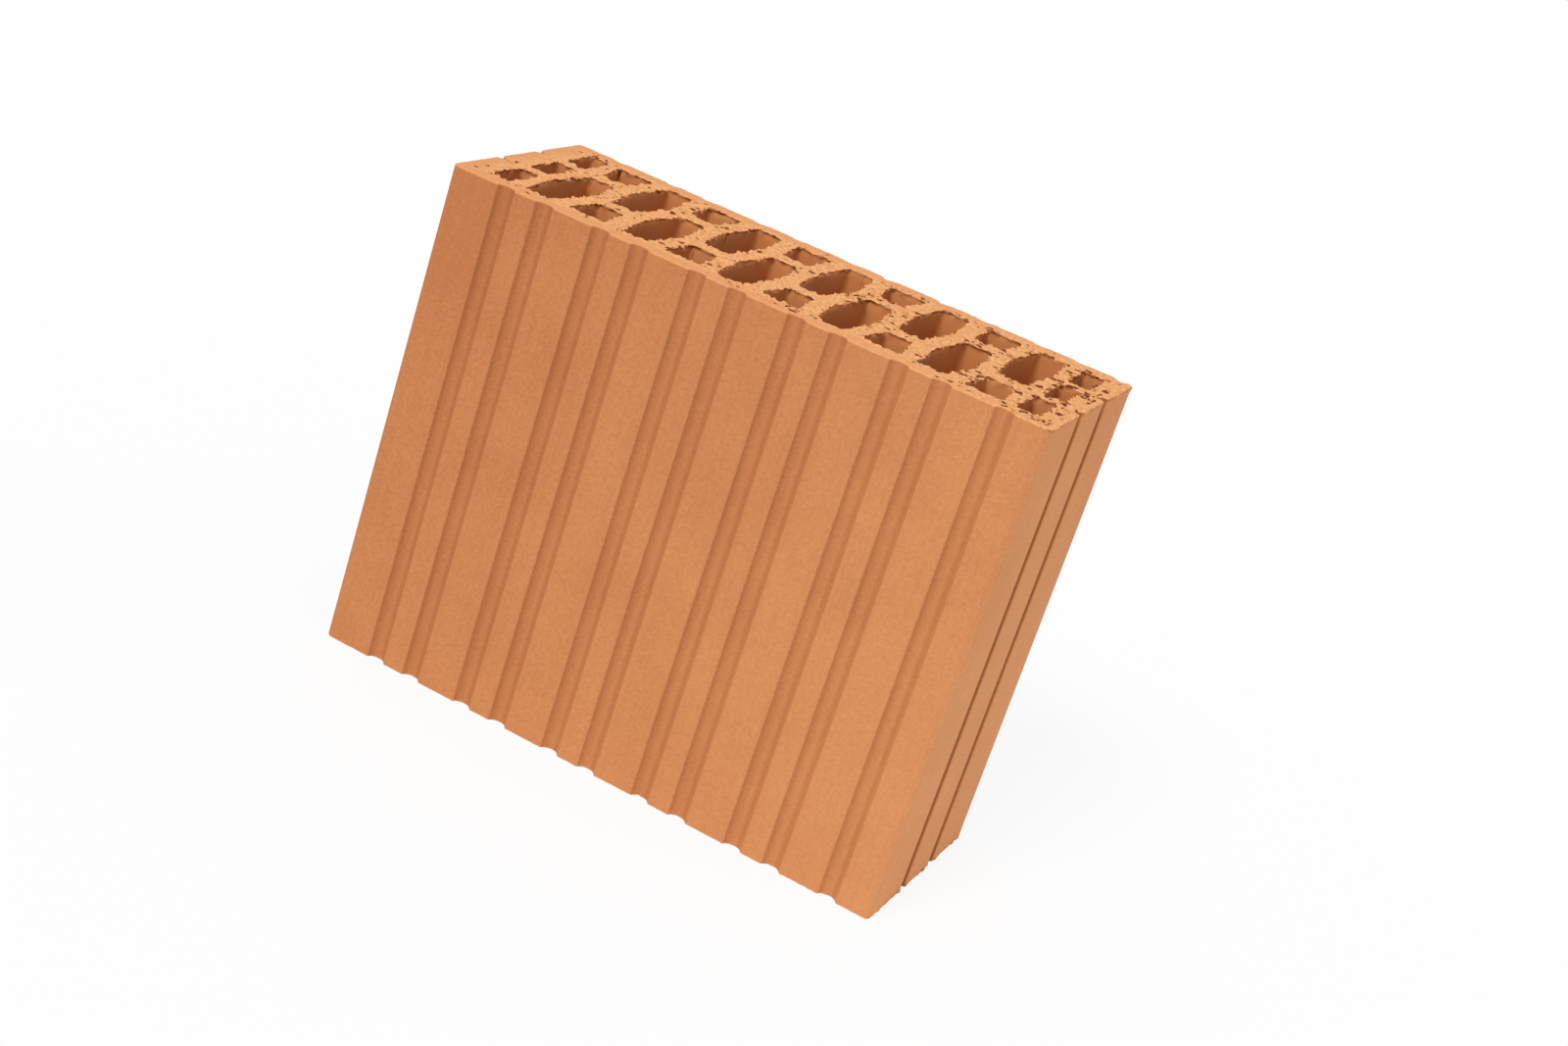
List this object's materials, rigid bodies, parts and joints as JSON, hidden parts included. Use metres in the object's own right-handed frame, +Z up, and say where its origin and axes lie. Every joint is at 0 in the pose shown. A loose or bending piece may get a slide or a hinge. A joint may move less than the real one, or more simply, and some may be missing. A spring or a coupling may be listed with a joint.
{
  "type": "perforated clay brick",
  "caption": "Fired clay wall brick with interlocking hexagonal and trapezoidal cells right through it, round keying grooves on its long faces and V notches on its ends.",
  "frame": {"origin": "centre of the bottom bed face", "axes": "+X along the wall, +Y through the wall, +Z up along the cells"},
  "size_m": [0.295, 0.115, 0.238],
  "materials": {
    "fired_clay": "matt, unglazed; smooth extruded skin on the sides and in the cells, torn wire-cut grain on the two beds"
  },
  "bodies": {
    "root": {"clay_brick": "fired_clay"}
  },
  "joints": []
}
